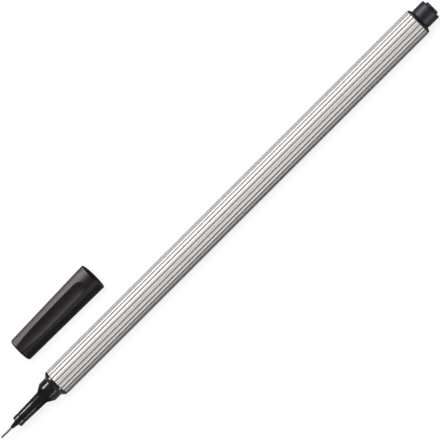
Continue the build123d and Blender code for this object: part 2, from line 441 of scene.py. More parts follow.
class Graph:
    """Node tree of one material or world."""

    # Numbers of a Mix node's two colour inputs and of its colour output.
    MIX_FIRST = 6
    MIX_SECOND = 7
    MIX_COLOUR = 2

    def __init__(self, owner: bpy.types.ID) -> None:
        """Start an empty tree.

        Args:
            owner: Material or world that the tree belongs to.
        """
        owner.use_nodes = True
        self.tree = owner.node_tree
        self.tree.nodes.clear()

    def add(
        self,
        kind: str,
        settings: Mapping[str, object] | None = None,
        sockets: Mapping[str | int, object] | None = None,
    ) -> bpy.types.Node:
        """Add any node.

        Args:
            kind: Type of the node.
            settings: Properties of the node, set first.
            sockets: Values or links of its inputs, by name or number.

        Returns:
            The new node.
        """
        node = self.tree.nodes.new(kind)
        for name, setting in (settings or {}).items():
            setattr(node, name, setting)
        for key, value in (sockets or {}).items():
            source = value.socket if isinstance(value, Value) else value
            if isinstance(source, bpy.types.NodeSocket):
                self.tree.links.new(source, node.inputs[key])
            else:
                node.inputs[key].default_value = source
        return node

    def place(self, origin: Vector) -> bpy.types.NodeSocket:
        """Read Object coordinates in millimetres.

        Args:
            origin: Where they start, in metres.

        Returns:
            The coordinates.
        """
        raw = self.add("ShaderNodeTexCoord").outputs["Object"]
        offset = self.add("ShaderNodeVectorMath", {"operation": "SUBTRACT"}, {0: raw, 1: origin}).outputs[0]
        return self.stretch(offset, Vector((1.0, 1.0, 1.0)) / MM)

    def stretch(self, vector: bpy.types.NodeSocket, scale: Sequence[float]) -> bpy.types.NodeSocket:
        """Coordinates multiplied axis by axis."""
        return self.add("ShaderNodeVectorMath", {"operation": "MULTIPLY"}, {0: vector, 1: scale}).outputs[0]

    def parts(self, vector: bpy.types.NodeSocket) -> tuple[Value, Value, Value]:
        """The three numbers of a vector."""
        x, y, z = self.add("ShaderNodeSeparateXYZ", None, {0: vector}).outputs
        return Value(self, x), Value(self, y), Value(self, z)

    def noise(self, vector: bpy.types.NodeSocket, detail: float) -> Value:
        """Smooth noise with one feature in a unit of the coordinates, and finer layers added."""
        sockets = {"Vector": vector, "Scale": 1.0, "Detail": detail}
        return Value(self, self.add("ShaderNodeTexNoise", None, sockets).outputs[0])

    def blend(self, share: Value, first: Colour, second: Colour) -> bpy.types.NodeSocket:
        """Mix two colours.

        Args:
            share: 0 for the first colour, 1 for the second.
            first: Colour at 0.
            second: Colour at 1.

        Returns:
            The mixed colour.
        """
        sockets = {0: share, self.MIX_FIRST: first, self.MIX_SECOND: second}
        return self.add("ShaderNodeMix", {"data_type": "RGBA"}, sockets).outputs[self.MIX_COLOUR]

    def bump(self, height: Value, depth: float, strength: float) -> bpy.types.NodeSocket:
        """Normal from a height.

        Args:
            height: Height from 0 to 1.
            depth: Depth in millimetres that a height of 1 stands for.
            strength: Share of the effect.

        Returns:
            The normal.
        """
        sockets = {"Height": height, "Distance": depth * MM, "Strength": strength}
        return self.add("ShaderNodeBump", None, sockets).outputs["Normal"]

    def surface(self, sockets: Mapping[str, object]) -> None:
        """Close the tree with a Principled shader."""
        shader = self.add("ShaderNodeBsdfPrincipled", None, sockets)
        self.add("ShaderNodeOutputMaterial", None, {"Surface": shader.outputs[0]})


def new_graph(name: str) -> tuple[bpy.types.Material, Graph]:
    """Start a material and its node tree."""
    material = bpy.data.materials.new(name)
    return material, Graph(material)


@dataclass(frozen=True)
class Pattern:
    """Noise that varies a finish.

    Attributes:
        along: Features in a millimetre along the pen.
        across: Features in a millimetre across it.
        detail: How many finer layers are added.
        reach: Noise at which a patch starts and is full.
        colour: How far the pattern shifts the colour.
        roughness: How far it shifts the roughness.
        depth: Depth of its relief.
        strength: Share of that relief that shows.
    """

    along: float
    across: float
    detail: float
    reach: Reach = (0.0, 1.0)
    colour: float = 0.0
    roughness: float = 0.0
    depth: float = 0.0
    strength: float = 0.0

    def noise(self, graph: Graph, place: bpy.types.NodeSocket) -> Value:
        """Smooth noise from about 0 to 1 at a place in millimetres."""
        return graph.noise(graph.stretch(place, (self.along, self.across, self.across)), self.detail)

    def patches(self, graph: Graph, place: bpy.types.NodeSocket) -> Value:
        """The noise, eased into patches."""
        return self.noise(graph, place).ramp(self.reach)

    def normal(self, graph: Graph, height: Value) -> bpy.types.NodeSocket:
        """Normal of the relief that a height stands for."""
        return graph.bump(height, self.depth, self.strength)


@dataclass(frozen=True)
class RibbedSilver:
    """Plastic full of fine metal flakes, with shade painted dark into the grooves.

    Attributes:
        axis: Axis of the ribbed tube.
        groove_radius: Radius at the foot of the ribs.
        rib: Colour of the ribs.
        groove: Colour of the shade painted at the foot of the ribs.
        groove_shade_share: Share of that painted shade where it is darkest.
        shadow: Heights above the groove up to which the painted shade is darkest, and from which the rib
            has none.
        roughness: Roughness between the lines.
        metal: Share of metal in the finish.
        metal_loss: Share of that which the grooves lose, which darkens their reflections as painted shade.
        edge_tint: What the flakes, which lie under a skin of plastic, reflect where they are seen edge on.
        lines: Lines left by drawing.
        flakes: Pearl flakes.
    """

    axis: Axis
    groove_radius: float
    rib: Colour = (0.52, 0.507, 0.493, 1.0)
    # Painted shade: the colour that darkens the foot of each rib.
    groove: Colour = (0.09, 0.087, 0.083, 1.0)
    groove_shade_share: float = 0.95
    shadow: Reach = (0.02, 0.11)
    roughness: float = 0.5
    metal: float = 0.18
    metal_loss: float = 0.8
    edge_tint: Colour = (0.1, 0.1, 0.1, 1.0)
    lines: Pattern = Pattern(0.03, 9.0, detail=1.0, colour=0.06, roughness=0.12, depth=0.006, strength=0.4)
    flakes: Pattern = Pattern(14.0, 14.0, detail=0.0, reach=(0.55, 0.85), colour=0.03)

    def material(self) -> bpy.types.Material:
        """Make the material.

        Returns:
            The new material.
        """
        material, graph = new_graph("ribbed_silver")
        place = graph.place(self.axis.origin)
        _, across, above = graph.parts(place)
        height = (across * across + above * above).root() - self.groove_radius
        # Heights of the painted groove shade: clean is where a rib has none, and outside keeps the shade
        # off the bore.
        darkest, clean = self.shadow
        outside = height.ramp((-clean, -darkest))
        # Painted shade: mask that is full on the groove floors and fades up the ribs' flanks.
        hollow = (1.0 - height.ramp(self.shadow)) * outside
        lines = self.lines.noise(graph, place) - NOISE_MIDDLE
        flakes = self.flakes.patches(graph, place)
        # Painted groove shade, mixed with the real drawing lines and flakes.
        shade = hollow * self.groove_shade_share + lines * self.lines.colour + flakes * self.flakes.colour
        graph.surface({
            "Base Color": graph.blend(shade, self.rib, self.groove),
            "Roughness": self.roughness + lines * self.lines.roughness,
            # The painted groove shade also takes metal, and so reflection, out of the grooves.
            "Metallic": self.metal - hollow * (self.metal * self.metal_loss),
            "Specular IOR Level": 0.0,
            "Specular Tint": self.edge_tint,
            "Normal": self.lines.normal(graph, lines),
        })
        return material


@dataclass(frozen=True)
class BlackPlastic:
    """Black moulded plastic with handling haze, fine scratches and a faint mould texture.

    Attributes:
        name: Name of the material.
        base: Colour where the surface is clean.
        haze: Colour where it is handled.
        gloss: Weight of the clear skin.
        gloss_roughness: Roughness of the clear skin.
        grain_depth: Depth of the mould texture.
        grain_strength: Share of the relief that shows.
        gloss_swing: Share of the gloss that the handling shifts.
        roughness: Roughness under the clear skin.
        grain: Mould texture.
        scratches: Scratches along the pen.
        scratch_height: Height of the scratches as a share of the texture's.
        handling: Haze left by hands.
        dull_band: Along X, where the gloss starts to fade, is faded, starts to come back and is back.
        dull_loss: Share of the gloss that is lost in that band.
    """

    name: str
    base: Colour
    haze: Colour
    gloss: float
    gloss_roughness: float
    grain_depth: float
    grain_strength: float = 0.35
    gloss_swing: float = 0.1
    roughness: float = 0.6
    grain: Pattern = Pattern(5.2, 5.2, detail=1.0)
    scratches: Pattern = Pattern(0.42, 5.2, detail=2.0, reach=(0.62, 0.78), colour=0.3)
    scratch_height: float = 0.4
    handling: Pattern = Pattern(0.26, 0.26, detail=3.0, reach=(0.35, 0.75), colour=0.6, roughness=0.2)
    dull_band: tuple[float, float, float, float] | None = None
    dull_loss: float = 0.84

    def material(self) -> bpy.types.Material:
        """Make the material.

        Returns:
            The new material.
        """
        material, graph = new_graph(self.name)
        place = graph.place(Vector())
        haze = self.handling.noise(graph, place)
        swing = haze - NOISE_MIDDLE
        scratches = self.scratches.patches(graph, place)
        wear = haze.ramp(self.handling.reach) * self.handling.colour + scratches * self.scratches.colour
        relief = self.grain.noise(graph, place) + scratches * self.scratch_height
        gloss = self.gloss * (1.0 - swing * self.gloss_swing)
        if self.dull_band:
            along = graph.parts(place)[0]
            dull = along.ramp(self.dull_band[:2]) - along.ramp(self.dull_band[2:])
            gloss = gloss * (1.0 - dull * self.dull_loss)
        graph.surface({
            "Base Color": graph.blend(wear, self.base, self.haze),
            "Roughness": self.roughness + swing * self.handling.roughness,
            "Specular IOR Level": 0.0,
            "Coat Weight": gloss,
            "Coat Roughness": self.gloss_roughness,
            "Normal": graph.bump(relief, self.grain_depth, self.grain_strength),
        })
        return material


@dataclass(frozen=True)
class DrawnSteel:
    """Steel with fine rings left by drawing and polishing, and faint stains."""

    base: Colour = (0.095, 0.094, 0.093, 1.0)
    dull: Colour = (0.065, 0.064, 0.063, 1.0)
    roughness: float = 0.36
    rings: Pattern = Pattern(16.0, 0.9, detail=1.0, colour=0.3, roughness=0.16, depth=0.006, strength=0.3)
    stains: Pattern = Pattern(0.9, 0.9, detail=2.0, reach=(0.5, 0.8), colour=0.4, roughness=0.08)

    def material(self) -> bpy.types.Material:
        """Make the material.

        Returns:
            The new material.
        """
        material, graph = new_graph("drawn_steel")
        place = graph.place(Vector())
        rings = self.rings.noise(graph, place) - NOISE_MIDDLE
        stains = self.stains.patches(graph, place)
        shade = stains * self.stains.colour + rings * self.rings.colour
        graph.surface({
            "Base Color": graph.blend(shade, self.base, self.dull),
            "Roughness": self.roughness + rings * self.rings.roughness + stains * self.stains.roughness,
            "Metallic": 1.0,
            "Normal": self.rings.normal(graph, rings),
        })
        return material


@dataclass(frozen=True)
class Fibre:
    """Bundle of fibres that runs along the pen, stained by ink in patches.

    Attributes:
        name: Name of the material.
        fibre: Colour of dry fibres.
        ink: Colour of wet fibres.
        strands: Strands of the bundle.
        stains: Ink stains.
        roughness: Roughness of dry fibres.
        shine: Specular level.
    """

    name: str
    fibre: Colour
    ink: Colour
    strands: Pattern
    stains: Pattern
    roughness: float = 0.85
    shine: float = 0.05

    def material(self) -> bpy.types.Material:
        """Make the material.

        Returns:
            The new material.
        """
        material, graph = new_graph(self.name)
        place = graph.place(Vector())
        strands = self.strands.noise(graph, place)
        stains = self.stains.patches(graph, place)
        wet = stains * self.stains.colour + strands * self.strands.colour
        graph.surface({
            "Base Color": graph.blend(wet, self.fibre, self.ink),
            "Roughness": self.roughness + stains * self.stains.roughness,
            "Specular IOR Level": self.shine,
            "Normal": self.strands.normal(graph, strands),
        })
        return material


@dataclass(frozen=True)
class ClearFilm:
    """Thin clear wrapping film, more opaque on its lengthwise creases."""

    tint: Colour = (0.80, 0.83, 0.86, 1.0)
    smoke: Colour = (0.45, 0.48, 0.52, 1.0)
    opacity: float = 0.45
    crease_opacity: float = 0.2
    roughness: float = 0.12
    creases: Pattern = Pattern(
        0.06, 2.4, detail=2.0, reach=(0.3, 0.8), roughness=0.15, depth=0.03, strength=0.4
    )

    def material(self) -> bpy.types.Material:
        """Make the material.

        Returns:
            The new material.
        """
        material, graph = new_graph("clear_film")
        creases = self.creases.noise(graph, graph.place(Vector()))
        graph.surface({
            "Base Color": graph.blend(creases.ramp(self.creases.reach), self.tint, self.smoke),
            "Roughness": self.roughness + creases * self.creases.roughness,
            "Alpha": self.opacity + creases * self.crease_opacity,
            "Normal": self.creases.normal(graph, creases),
        })
        return material


@dataclass(frozen=True)
class SoftSeal:
    """Soft dark plastic with a dull bloom and a fine mould texture."""

    base: Colour = (0.016, 0.016, 0.017, 1.0)
    bloom: Colour = (0.030, 0.030, 0.032, 1.0)
    roughness: float = 0.55
    shine: float = 0.3
    clouds: Pattern = Pattern(0.7, 0.7, detail=3.0, reach=(0.35, 0.7), roughness=0.2)
    grain: Pattern = Pattern(9.0, 9.0, detail=1.0, depth=0.01, strength=0.3)

    def material(self) -> bpy.types.Material:
        """Make the material.

        Returns:
            The new material.
        """
        material, graph = new_graph("soft_seal")
        place = graph.place(Vector())
        clouds = self.clouds.noise(graph, place)
        graph.surface({
            "Base Color": graph.blend(clouds.ramp(self.clouds.reach), self.base, self.bloom),
            "Roughness": self.roughness + (clouds - NOISE_MIDDLE) * self.clouds.roughness,
            "Specular IOR Level": self.shine,
            "Normal": self.grain.normal(graph, self.grain.noise(graph, place)),
        })
        return material


class Assembly(Protocol):
    """Group of pieces that is built and dressed together."""

    def dress(self) -> list[bpy.types.Object]:
        """Build the pieces, give them their finishes and hand them back."""


@dataclass
class Barrel:
    """Ribbed tube: each rib is one arc from groove to groove, and keepers inside hold the ink supply."""

    axis: Axis
    crest_radius: float = 4.0
    flute_depth: float = 0.15
    rib_count: int = 20
    bore_radius: float = 3.2
    end_chamfer: float = 0.2
    edge_blend: float = 0.06
    end_step: float = 0.05
    keeper_count: int = 6
    keeper_width: float = 0.5
    keeper_setback: float = 1.5
    keeper_gap: float = 0.03
    points_per_rib: int = 16

    @property
    def groove_radius(self) -> float:
        """Radius at the foot of the ribs."""
        return self.crest_radius - self.flute_depth

    def rib_radius(self, turn: float) -> float:
        """Radius of the ribbed section.

        Args:
            turn: Angle about the axis in radians.

        Returns:
            The radius in millimetres.
        """
        half_pitch = math.pi / self.rib_count
        rise = self.crest_radius - self.groove_radius * math.cos(half_pitch)
        centre = (self.crest_radius**2 - self.groove_radius**2) / (2 * rise)
        arc = self.crest_radius - centre
        off = turn % (2 * half_pitch) - half_pitch
        return centre * math.cos(off) + math.sqrt(arc**2 - (centre * math.sin(off)) ** 2)

    @cached_property
    def keeper_reach(self) -> Reach:
        """Stations where the keepers start and end, clear of both spigots."""
        start = self.axis.reach("grip_section")[1] + self.keeper_setback
        return start, self.axis.reach("end_plug")[0] - self.keeper_setback

    @cached_property
    def keeper_radius(self) -> float:
        """Radius of the keepers' crests, just clear of the film."""
        return half_breadth("reservoir_film") + self.keeper_gap

    def pressed(self, station: float, radius: float, turn: float) -> float:
        """Press the skin into ribs and draw the keepers out of the bore.

        Args:
            station: Distance of a point along the axis in millimetres.
            radius: Its distance from the axis in millimetres.
            turn: Its angle about the axis in radians.

        Returns:
            Its new distance from the axis.
        """
        if radius > self.bore_radius + FIT:
            return min(radius, self.rib_radius(turn))
        start, end = self.keeper_reach
        pitch = math.tau / self.keeper_count
        off = (turn + pitch / 2) % pitch - pitch / 2
        between = start - FIT / 2 < station < end + FIT / 2
        beside = abs(off) * self.keeper_radius < self.keeper_width / 2
        return self.keeper_radius if between and beside else radius

    def build(self) -> bpy.types.Object:
        """Turn the tube and shape its ribs and keepers.

        Returns:
            The tube.
        """
        front, tail = self.axis.reach("barrel")
        shoulder = self.crest_radius - self.end_chamfer
        keeper_start, keeper_end = self.keeper_reach
        corners = [
            Corner(front, self.bore_radius),
            Corner(front, shoulder, self.edge_blend, self.end_step),
            Corner(front + self.end_chamfer, self.crest_radius, self.edge_blend),
            Corner(tail - self.end_chamfer, self.crest_radius, self.edge_blend, self.end_step),
            Corner(tail, shoulder, self.edge_blend),
            Corner(tail, self.bore_radius),
            Corner(keeper_end + FIT, self.bore_radius),
            Corner(keeper_end, self.bore_radius),
            Corner(keeper_start, self.bore_radius),
            Corner(keeper_start - FIT, self.bore_radius),
        ]
        piece = turned_piece("barrel_tube", self.axis, corners, self.rib_count * self.points_per_rib)
        press(piece, self.axis, self.pressed)
        return piece

    def dress(self) -> list[bpy.types.Object]:
        """Build the tube and give it its finish."""
        finish = RibbedSilver(self.axis, self.groove_radius)
        return [install(self.build(), Body.PEN, finish.material(), "barrel")]


@dataclass
class FrontEnd:
    """Grip section, tip bush, steel needle and fibre point, in stations from the barrel's front face."""

    axis: Axis
    collar_band: float = 0.5
    collar_cone: float = 0.95
    seat_length: float = 2.2
    seat_radius: float = 3.0
    nose_cone: float = 1.95
    nose_sweep: float = 1.2
    tube_root_radius: float = 1.8
    tube_tip_radius: float = 1.6
    ring_length: float = 1.8
    joint_chamfer: float = 0.14
    socket_depth: float = 5.0
    socket_radius: float = 1.0
    passage_radius: float = 0.7
    spigot_radius: float = 3.19
    spigot_chamfer: float = 0.3
    core_radius: float = 2.09
    core_floor: float = 4.0
    cone_base_radius: float = 0.75
    cone_nose_radius: float = 0.445
    sleeve_radius: float = 0.315
    shank_radius: float = 0.64
    rod_radius: float = 0.45
    point_radius: float = 0.225
    vent_width: float = 0.3
    vent_depth: float = 0.15
    fine_edge: float = 0.05
    soft_edge: float = 0.12
    round_edge: float = 0.25
    bright_tube: float = 3.4
    dull_ease: float = 2.0
    seat_ease: float = 0.7
    segments: int = 128
    fine_segments: int = 64

    @property
    def joint(self) -> float:
        """Station where the tube meets the ring of the bush."""
        return self.axis.reach("grip_section")[0]

    @property
    def seat_end(self) -> float:
        """Station where the cap's seat ends and the nose cone starts."""
        return -self.collar_band - self.collar_cone - self.seat_length

    @property
    def dull_band(self) -> tuple[float, float, float, float]:
        """Where the tube's gloss fades behind its bright front, and comes back at the seat, along X.

        Returns:
            Where the fading starts and ends, and where the gloss starts to come back and is back.
        """
        fade = self.joint + self.bright_tube
        stations = (fade, fade + self.dull_ease, self.seat_end - self.seat_ease, self.seat_end)
        return tuple(self.axis.point(station, 0.0).x / MM for station in stations)

    @property
    def ring_front(self) -> float:
        """Station of the ring's front face."""
        return self.joint - self.ring_length

    def section(self) -> bpy.types.Object:
        """Turn the grip section.

        Returns:
            The section.
        """
        joint, spigot_end = self.axis.reach("grip_section")
        collar_radius = half_breadth("grip_section")
        seat_end = self.seat_end
        corners = [
            Corner(spigot_end, self.core_radius),
            Corner(spigot_end, self.spigot_radius - self.spigot_chamfer),
            Corner(spigot_end - self.spigot_chamfer, self.spigot_radius),
            Corner(0.0, self.spigot_radius),
            Corner(0.0, collar_radius, self.fine_edge),
            Corner(-self.collar_band, collar_radius, self.fine_edge),
            Corner(seat_end + self.seat_length, self.seat_radius, self.soft_edge),
            Corner(seat_end, self.seat_radius, self.round_edge),
            Corner(seat_end - self.nose_cone, self.tube_root_radius, self.nose_sweep),
            Corner(joint + self.joint_chamfer, self.tube_tip_radius, self.fine_edge),
            Corner(joint, self.tube_tip_radius - self.joint_chamfer),
            Corner(joint, self.socket_radius),
            Corner(joint + self.socket_depth, self.socket_radius),
            Corner(joint + self.socket_depth, self.passage_radius),
            Corner(self.core_floor, self.passage_radius),
            Corner(self.core_floor, self.core_radius),
        ]
        return turned_piece("grip_body", self.axis, corners, self.segments)

    def bush(self) -> bpy.types.Object:
        """Turn the tip bush (ring, slim cone and the spigot inside the tube) and cut its air vent.

        Returns:
            The bush.
        """
        front, end = self.axis.reach("tip_bush")
        corners = [
            Corner(front, self.sleeve_radius + FIT),
            Corner(front, self.cone_nose_radius, self.fine_edge),
            Corner(self.ring_front, self.cone_base_radius, self.soft_edge),
            Corner(self.ring_front, self.tube_tip_radius, self.round_edge),
            Corner(self.joint - self.joint_chamfer, self.tube_tip_radius, self.fine_edge),
            Corner(self.joint, self.tube_tip_radius - self.joint_chamfer),
            Corner(self.joint, self.socket_radius - FIT),
            Corner(end, self.socket_radius - FIT),
            Corner(end, self.shank_radius + FIT),
            Corner(self.joint, self.shank_radius + FIT),
            Corner(self.ring_front, self.sleeve_radius + FIT),
        ]
        piece = turned_piece("tip_ring", self.axis, corners, self.segments)
        bore = self.shank_radius + FIT
        low = Vector((self.ring_front - FIT, -self.vent_width / 2, -bore - self.vent_depth))
        high = Vector((end + FIT, self.vent_width / 2, -bore + self.vent_depth))
        work_bar(piece, self.axis, low, high, Work.CUT)
        return piece

    def needle(self) -> bpy.types.Object:
        """Turn the steel needle with its rolled front edge and the shank behind it.

        Returns:
            The needle.
        """
        front, end = self.axis.reach("nib_ferrule")
        corners = [
            Corner(front, self.point_radius + FIT),
            Corner(front, self.sleeve_radius, self.fine_edge),
            Corner(self.ring_front, self.sleeve_radius),
            Corner(self.joint, self.shank_radius),
            Corner(end, self.shank_radius),
            Corner(end, self.rod_radius + FIT),
            Corner(self.joint, self.rod_radius + FIT),
            Corner(self.ring_front, self.point_radius + FIT),
        ]
        return turned_piece("needle_sleeve", self.axis, corners, self.fine_segments)

    def point(self) -> bpy.types.Object:
        """Turn the fibre point with its worn ball end.

        Returns:
            The point.
        """
        front, end = self.axis.reach("nib_core")
        corners = [
            Corner(front, 0.0),
            Corner(front, self.point_radius, self.point_radius - FIT),
            Corner(self.ring_front, self.point_radius),
            Corner(self.joint, self.rod_radius),
            Corner(end, self.rod_radius),
            Corner(end, 0.0),
        ]
        return turned_piece("fibre_point", self.axis, corners, self.fine_segments)

    def dress(self) -> list[bpy.types.Object]:
        """Build the four pieces and give them their finishes.

        Returns:
            The four pieces, from the section forwards.
        """
        black = BlackPlastic(
            name="gloss_black",
            base=(0.0125, 0.0100, 0.0130, 1.0),
            haze=(0.0170, 0.0145, 0.0175, 1.0),
            gloss=0.38,
            gloss_roughness=0.15,
            grain_depth=0.004,
            dull_band=self.dull_band,
        ).material()
        fibre = Fibre(
            name="ink_fibre",
            fibre=(0.012, 0.011, 0.013, 1.0),
            ink=(0.005, 0.005, 0.007, 1.0),
            strands=Pattern(1.5, 26.0, detail=1.0, colour=0.4, depth=0.01, strength=0.6),
            stains=Pattern(3.0, 3.0, detail=3.0, reach=(0.3, 0.7), colour=0.6, roughness=-0.2),
        )
        return [
            install(self.section(), Body.PEN, black, "grip_section"),
            install(self.bush(), Body.PEN, black, "tip_bush"),
            install(self.needle(), Body.PEN, DrawnSteel().material(), "nib_ferrule"),
            install(self.point(), Body.PEN, fibre.material(), "nib_core"),
        ]


@dataclass
class TailPlug:
    """Black stopper with a flange, a post that takes the cap and an end boss."""

    axis: Axis
    spigot_radius: float = 3.19
    spigot_chamfer: float = 0.3
    core_radius: float = 2.49
    flange_band: float = 0.2
    flange_cone: float = 0.6
    groove_width: float = 0.3
    groove_depth: float = 0.12
    post_radius: float = 3.0
    post_length: float = 3.92
    post_core_radius: float = 2.25
    post_edge: float = 0.3
    boss_radius: float = 1.98
    boss_edge: float = 0.35
    end_wall: float = 1.2
    fin_thickness: float = 0.7
    fine_edge: float = 0.06
    segments: int = 128

    def build(self) -> bpy.types.Object:
        """Turn the plug and set crossed fins in its hollow spigot.

        Returns:
            The plug.
        """
        start, tail = self.axis.reach("end_plug")
        face = self.axis.reach("barrel")[1]
        flange_radius = half_breadth("end_plug")
        foot = face + self.flange_band + self.flange_cone
        post = foot + self.post_length
        floor = post - self.end_wall
        corners = [
            Corner(start, self.core_radius),
            Corner(start, self.spigot_radius - self.spigot_chamfer),
            Corner(start + self.spigot_chamfer, self.spigot_radius),
            Corner(face, self.spigot_radius),
            Corner(face, flange_radius, self.fine_edge),
            Corner(face + self.flange_band, flange_radius, self.fine_edge),
            Corner(foot, self.post_radius - self.groove_depth, self.fine_edge),
            Corner(foot + self.groove_width, self.post_radius, self.fine_edge),
            Corner(post, self.post_radius, self.post_edge),
            Corner(post, self.boss_radius, self.fine_edge),
            Corner(tail, self.boss_radius, self.boss_edge),
            Corner(tail, 0.0),
            Corner(floor, 0.0),
            Corner(floor, self.post_core_radius),
            Corner(face, self.post_core_radius),
            Corner(face, self.core_radius),
        ]
        piece = turned_piece("tail_stopper", self.axis, corners, self.segments)
        reach = (self.core_radius + self.spigot_radius) / 2
        half = self.fin_thickness / 2
        for across, above in ((reach, half), (half, reach)):
            low = Vector((start + FIT, -across, -above))
            high = Vector((face + FIT, across, above))
            work_bar(piece, self.axis, low, high, Work.FUSE)
        return piece

    def dress(self) -> list[bpy.types.Object]:
        """Build the plug and give it its finish.

        Returns:
            The plug alone.
        """
        finish = BlackPlastic(
            name="blue_black",
            base=(0.0075, 0.0080, 0.0140, 1.0),
            haze=(0.0110, 0.0115, 0.0185, 1.0),
            gloss=0.37,
            gloss_roughness=0.5,
            grain_depth=0.008,
        )
        return [install(self.build(), Body.PEN, finish.material(), "end_plug")]


@dataclass
class Cap:
    """Tapered black cap with scooped grips, and the seal inside it. Stations count from its mouth."""

    length: float = 27.611
    mouth_radius: float = 4.05
    mouth_edge: float = 0.15
    end_radius: float = 3.5
    end_edge: float = 0.5
    end_wall: float = 1.5
    lead_radius: float = 3.642
    lead_length: float = 0.612
    socket_radius: float = 3.03
    socket_end: float = 3.361
    socket_step: float = 0.55
    liner_radius: float = 2.53
    scoop_count: int = 3
    scoop_turn: float = 72.7
    scoop_radius: float = 6.0
    scoop_dip: float = 0.62
    scoop_margin: float = 2.8
    scoop_tail: float = 10.0
    scoop_tail_dip: float = 0.14
    scoop_softness: float = 0.09
    fine_edge: float = 0.06
    skin_step: float = 0.2
    end_step: float = 0.5
    segments: int = 360

    @property
    def axis(self) -> Axis:
        """Axis of the cap, from the middle of its mouth inwards, placed by the record's socket mount.

        Returns:
            The axis, whose turns start on the side of the pen.
        """
        socket = next(mount for mount in frame["record"]["mounts"] if mount["name"] == "cap_socket")
        outward = Vector(socket["axis"]).normalized()
        reach = (self.lead_length + socket["dims"]["length_mm"] / 2) * MM
        return Axis(Vector(socket["pos_m"]) + outward * reach, -outward, Vector((0.0, -1.0, 0.0)))

    @property
    def liner_end(self) -> float:
        """Station where the bore ends."""
        return self.length - self.end_wall

    @property
    def scoop_start(self) -> float:
        """Station where a scoop reaches its full depth, after its round run-out."""
        rest = self.scoop_radius - self.scoop_dip
        return self.scoop_margin + math.sqrt(self.scoop_radius**2 - rest**2)

    def skin_radius(self, station: float) -> float:
        """Radius of the cap's plain taper at a station."""
        return self.mouth_radius + (self.end_radius - self.mouth_radius) * station / self.length

    def scoop_axis_radius(self, station: float) -> float:
        """Distance from the cap's axis to the middle of the bar that shapes a scoop.

        Args:
            station: Distance from the mouth in millimetres.

        Returns:
            The distance in millimetres. It follows the skin, and grows towards the closed end.
        """
        past = max(0.0, station - self.length + self.scoop_tail) / self.scoop_tail
        dip = self.scoop_dip - (self.scoop_dip - self.scoop_tail_dip) * past**2
        return self.skin_radius(max(station, self.scoop_start)) - dip + self.scoop_radius

    def scoop_depth(self, station: float, turn: float) -> float:
        """Depth that the scoops take from the plain taper.

        Args:
            station: Distance from the mouth in millimetres.
            turn: Angle about the axis in radians.

        Returns:
            The depth in millimetres, eased at the scoops' edges.
        """
        pitch = math.tau / self.scoop_count
        off = (turn - math.radians(self.scoop_turn) + pitch / 2) % pitch - pitch / 2
        ahead = max(0.0, self.scoop_start - station)
        middle = self.scoop_axis_radius(station)
        reach = self.scoop_radius**2 - ahead**2 - (middle * math.sin(off)) ** 2
        if reach <= 0.0:
            return 0.0
        floor = middle * math.cos(off) - math.sqrt(reach)
        depth = self.skin_radius(station) - floor
        ease = max(0.0, 1.0 - abs(depth) / self.scoop_softness)
        return max(0.0, depth) + ease**2 * self.scoop_softness / 4

    def scooped(self, station: float, radius: float, turn: float) -> float:
        """Press the skin and the closed end into the scoops, and leave the bore.

        Args:
            station: Distance of a point from the mouth in millimetres.
            radius: Its distance from the axis in millimetres.
            turn: Its angle about the axis in radians.

        Returns:
            Its new distance from the axis.
        """
        if station < self.liner_end + FIT and radius < self.socket_radius + FIT:
            return radius
        share = min(1.0, radius / self.liner_radius)
        return radius - self.scoop_depth(station, turn) * share

    def build(self) -> bpy.types.Object:
        """Turn the shell and press its scoops.

        Returns:
            The shell.
        """
        axis = self.axis
        corners = [
            Corner(0.0, self.lead_radius, self.fine_edge),
            Corner(0.0, self.mouth_radius, self.mouth_edge, self.skin_step),
            Corner(self.length, self.end_radius, self.end_edge, self.end_step),
            Corner(self.length, 0.0),
            Corner(self.liner_end, 0.0),
            Corner(self.liner_end, self.liner_radius),
            Corner(self.socket_end + self.socket_step, self.liner_radius),
            Corner(self.socket_end, self.socket_radius),
            Corner(self.lead_length, self.socket_radius, self.fine_edge),
        ]
        piece = turned_piece("cap_body", axis, corners, self.segments)
        press(piece, axis, self.scooped)
        return piece

    def dress(self) -> list[bpy.types.Object]:
        """Build the shell, and give it and the seal their finishes.

        Returns:
            The shell and the seal.
        """
        finish = BlackPlastic(
            name="warm_satin_black",
            base=(0.0085, 0.0062, 0.0080, 1.0),
            haze=(0.0115, 0.0087, 0.0105, 1.0),
            gloss=0.22,
            gloss_roughness=0.5,
            grain_depth=0.010,
        )
        shell = install(self.build(), Body.CAP, finish.material(), "cap_shell")
        return [shell, dress_node("cap_seal", SoftSeal().material())]


@dataclass
class InkSupply:
    """Fibre reservoir and its film, which stay as solids inside the barrel."""

    def dress(self) -> list[bpy.types.Object]:
        """Give both solids their finishes.

        Returns:
            The reservoir and its film.
        """
        fibre = Fibre(
            name="reservoir_fibre",
            fibre=(0.30, 0.30, 0.32, 1.0),
            ink=(0.012, 0.012, 0.018, 1.0),
            strands=Pattern(0.12, 7.0, detail=1.0, colour=0.4, depth=0.04, strength=0.6),
            stains=Pattern(0.14, 0.14, detail=3.0, reach=(0.3, 0.7), colour=0.6, roughness=-0.2),
        )
        return [
            dress_node("ink_reservoir", fibre.material()),
            dress_node("reservoir_film", ClearFilm().material()),
        ]


def turned_to(right: Vector, up: Vector, back: Vector, place: Vector) -> Matrix:
    """Matrix that stands a camera or a lamp at a place.

    Args:
        right: Unit direction of its right side.
        up: Unit direction of its top.
        back: Unit direction away from what it looks at.
        place: Where it stands, in metres.

    Returns:
        The matrix.
    """
    return Matrix.Translation(place) @ Matrix((right, up, back)).transposed().to_4x4()


